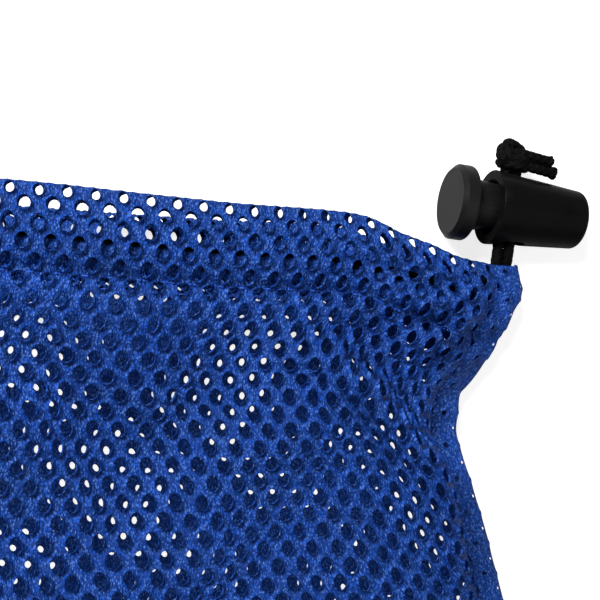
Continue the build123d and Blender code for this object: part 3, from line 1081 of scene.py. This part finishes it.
class BAG_OT_drawcord(bpy.types.Operator):
    """Builds the braided drawcord, round both hems and out through the cord lock"""

    bl_idname = "laundry_bag.drawcord"
    bl_label = "Drawcord"

    def execute(self, context):
        cord = context.scene.bag_cord
        into, out, middle = lock_frame()
        apart = into * (cord.diameter + CORDS_APART) / 2
        across = np.linspace(30, 2 * HALF - 22, 26)
        near = [middle - apart + out * d for d in LOCK_RUN]
        far = [middle + apart + out * d for d in LOCK_RUN]
        hem_front = casing_route(panel(context, "front"), across)
        hem_back = casing_route(panel(context, "back"), across)
        turn = [(MOUTH - 14, HALF - 5, 9.0), (MOUTH - 19, HALF - 3.5, 4.5), (MOUTH - 16, HALF - 9, 2.9)]
        front_end = [near[-1] - out * 3.5 - (0, 0, 1.5), near[-1] - out * 7.0 + (0, 4.2, -0.8)]
        back_end = [far[-1] - out * 4.0 - (0, 0, 2.3), far[-1] - out * 8.0 + (0, 4.7, -4.0)]
        route = [*near, *front_end, *hem_front, *turn, *hem_back[::-1], *back_end[::-1], *far[::-1]]
        piece = new_mesh("drawcord_braid", *braided(nurbs_line(route, 0.45), cord.diameter))
        finish_piece(piece, black_braid(context), "bag", "cord_braid", "drawcord")
        return {"FINISHED"}


class BAG_OT_cord_knot(bpy.types.Operator):
    """Ties the overhand knot in the cord's two ends and leaves the cut ends"""

    bl_idname = "laundry_bag.cord_knot"
    bl_label = "Knot and cut ends"

    def execute(self, context):
        cord = context.scene.bag_cord
        into, out, _ = lock_frame()
        up = np.cross(into, out) * -1
        up = up if up[2] > 0 else -up
        knot = KNOT_MIDDLE + into * 0.3

        def spot(across, outward, lift):
            """A place beside the knot's middle."""
            return knot + into * across + out * outward + up * lift

        strands = []
        for shift in (-0.5, 0.5):
            d = shift * (cord.diameter + CORDS_APART)
            route = [
                spot(d - 0.3, -5.0, 0),
                spot(d * 0.9 - 0.1, -3.0, 0.1),
                spot(-2.4 + d * 0.5, -1.2, 2.2 + d * 0.3),
                spot(-3.0 + d * 0.4, 1.6 + d * 0.5, 1.2),
                spot(-0.4 + d * 0.5, 2.3 + d * 0.4, -1.4),
                spot(2.6 + d * 0.2, 1.2 + d * 0.4, -2.0),
                spot(3.0, -1.6 + d * 0.6, 0.4),
                spot(-0.2, -1.7 + d * 0.4, 2.6),
                spot(-3.2, -1.2 + d * 0.6, 0.4),
                spot(-1.8, -0.2 + d * 0.8, -1.2),
                spot(1.6, -0.4 + d * 0.9, 0.4),
                spot(5.0, -0.9 + d * 0.85, 0.9),
                spot(8.7 - 0.4 * d, -1.2 + d * 0.9, 0.6),
            ]
            strands.append(braided(nurbs_line(route, 0.22), cord.diameter, splayed=True))
        piece = new_mesh("cord_knot_braid", *joined(strands))
        finish_piece(piece, black_braid(context), "bag", "cord_braid", "cord_knot", "cord_ends")
        return {"FINISHED"}


# Cord lock


SPRING_TURNS = 6
SPRING_RADIUS = 2.9
SPRING_LENGTH = 8.5
WIRE_RADIUS = 0.275


class BAG_OT_cord_lock(bpy.types.Operator):
    """Finishes the barrel and the plunger, and winds the spring"""

    bl_idname = "laundry_bag.cord_lock"
    bl_label = "Cord lock"

    def execute(self, context):
        colour = context.scene.bag_cord.plastic
        barrel, plunger = frame["nodes"]["lock_barrel"], frame["nodes"]["lock_plunger"]
        finishes = (
            (barrel, plastic_material("moulded_barrel", colour, 0.3, 0.022)),
            # Painted reflection: the plunger's plastic is made 1.3 times lighter than the barrel's, for the
            # shine on its button face
            (plunger, plastic_material("moulded_plunger", shade(colour, 1.3), 0.42, 0.13)),
        )
        for piece, material in finishes:
            piece.data.materials.clear()
            piece.data.materials.append(material)
        into, _, _ = lock_frame()
        u = np.linspace(0, 1, SPRING_TURNS * 28)
        side = unit(np.cross(into, (0, 0, 1.0)))
        up = np.cross(into, side)
        angle = 2 * math.pi * SPRING_TURNS * u
        path = SPRING_MIDDLE + into * ((u - 0.5) * SPRING_LENGTH)[:, None]
        path = path + SPRING_RADIUS * (side * np.cos(angle)[:, None] + up * np.sin(angle)[:, None])
        piece = new_mesh("lock_spring_coil", *tube(path, WIRE_RADIUS, 10))
        finish_piece(piece, spring_material(), "lock", "spring_steel", "lock_spring")
        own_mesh(piece)
        return {"FINISHED"}


# Stage


def pale_floor(scene):
    """A wide floor that shows white to the camera and lights little else."""
    n = Nodes("pale_floor")
    n.finish({"Base Color": (*grey(0.55), 1), "Roughness": 0.8, "Emission Color": (*grey(1.0), 1)})
    seen = n.add("ShaderNodeLightPath").outputs["Is Camera Ray"]
    glow = n.add("ShaderNodeMath", {0: seen, 1: 0.78}, operation="MULTIPLY").outputs[0]
    n.link(glow, n.shader.inputs["Emission Strength"])
    mesh = bpy.data.meshes.new("floor")
    size = 60.0
    corners = [(-size, -size, 0), (size, -size, 0), (size, size, 0), (-size, size, 0)]
    mesh.from_pydata(corners, [], [(0, 1, 2, 3)])
    floor = bpy.data.objects.new("floor", mesh)
    mesh.materials.append(n.material)
    scene.collection.objects.link(floor)


def white_studio(scene):
    """A world that is white to the camera and dim to everything else."""
    world = bpy.data.worlds.new("studio")
    scene.world = world
    world.use_nodes = True
    tree = world.node_tree
    background = tree.nodes["Background"]
    background.inputs["Color"].default_value = (1, 1, 1, 1)
    path = tree.nodes.new("ShaderNodeLightPath")
    level = tree.nodes.new("ShaderNodeMath")
    level.operation = "MULTIPLY_ADD"
    tree.links.new(path.outputs["Is Camera Ray"], level.inputs[0])
    level.inputs[1].default_value = 0.84
    level.inputs[2].default_value = 0.16
    tree.links.new(level.outputs[0], background.inputs["Strength"])


LAMPS = (  # name, place from the corner, width and power
    ("key", (0.45, 0.5, 0.8), 0.45, 16.0),
    ("fill", (-0.5, -0.7, 0.9), 1.2, 3.6),
)


def soft_lamps(scene):
    """Two round lamps that face the corner with the cord lock."""
    corner = Vector((MOUTH * MM, -0.2, 0.01))
    for name, offset, width, power in LAMPS:
        data = bpy.data.lights.new(name, "AREA")
        data.shape = "DISK"
        data.size = width
        data.energy = power
        lamp = bpy.data.objects.new(name, data)
        scene.collection.objects.link(lamp)
        lamp.location = corner + Vector(offset)
        lamp.rotation_euler = (corner - lamp.location).to_track_quat("-Z", "Y").to_euler()


def close_camera(scene):
    """The camera, above the corner that holds the cord lock."""
    data = bpy.data.cameras.new("camera")
    data.sensor_width = 36.0
    data.lens = 78.0
    data.clip_start = 0.02
    camera = bpy.data.objects.new("camera", data)
    scene.collection.objects.link(camera)
    camera.location = (0.2756, -0.1253, 0.2563)
    camera.rotation_euler = [math.radians(turn) for turn in (3.18, -11.84, -88.82)]
    scene.camera = camera


class BAG_OT_stage(bpy.types.Operator):
    """Sets the pale floor, the soft lights and the camera"""

    bl_idname = "laundry_bag.stage"
    bl_label = "Stage"

    def execute(self, context):
        for make in (pale_floor, white_studio, soft_lamps, close_camera):
            make(context.scene)
        context.scene.view_settings.view_transform = "Standard"
        return {"FINISHED"}


class BAG_PT_sidebar(bpy.types.Panel):
    """Lists the bag's sizes, colours and build steps"""

    bl_idname = "BAG_PT_sidebar"
    bl_label = "Mesh laundry bag"
    bl_space_type = "VIEW_3D"
    bl_region_type = "UI"
    bl_category = "Laundry Bag"

    def draw(self, context):
        column = self.layout.column(align=True)
        for group in (context.scene.bag_fabric, context.scene.bag_shape, context.scene.bag_cord):
            for name in group.__annotations__:
                column.prop(group, name)
        for operator in OPERATORS:
            column.operator(operator.bl_idname)


GROUPS = (BagFabric, BagShape, BagCord)
OPERATORS = (
    BAG_OT_stage,
    BAG_OT_back_panel,
    BAG_OT_front_panel,
    BAG_OT_hems,
    BAG_OT_hem_stitching,
    BAG_OT_side_seams,
    BAG_OT_bottom_seam,
    BAG_OT_drawcord,
    BAG_OT_cord_knot,
    BAG_OT_cord_lock,
)


def register():
    """Adds the classes and the scene's settings."""
    for item in (*GROUPS, *OPERATORS, BAG_PT_sidebar):
        bpy.utils.register_class(item)
    bpy.types.Scene.bag_fabric = bpy.props.PointerProperty(type=BagFabric)
    bpy.types.Scene.bag_shape = bpy.props.PointerProperty(type=BagShape)
    bpy.types.Scene.bag_cord = bpy.props.PointerProperty(type=BagCord)


def unregister():
    """Takes them away again."""
    for name in ("bag_fabric", "bag_shape", "bag_cord"):
        delattr(bpy.types.Scene, name)
    for item in reversed((*GROUPS, *OPERATORS, BAG_PT_sidebar)):
        bpy.utils.unregister_class(item)


def main():
    """Builds the whole bag."""
    register()
    for operator in OPERATORS:
        group, name = operator.bl_idname.split(".")
        getattr(getattr(bpy.ops, group), name)()


if __name__ == "__main__":
    main()
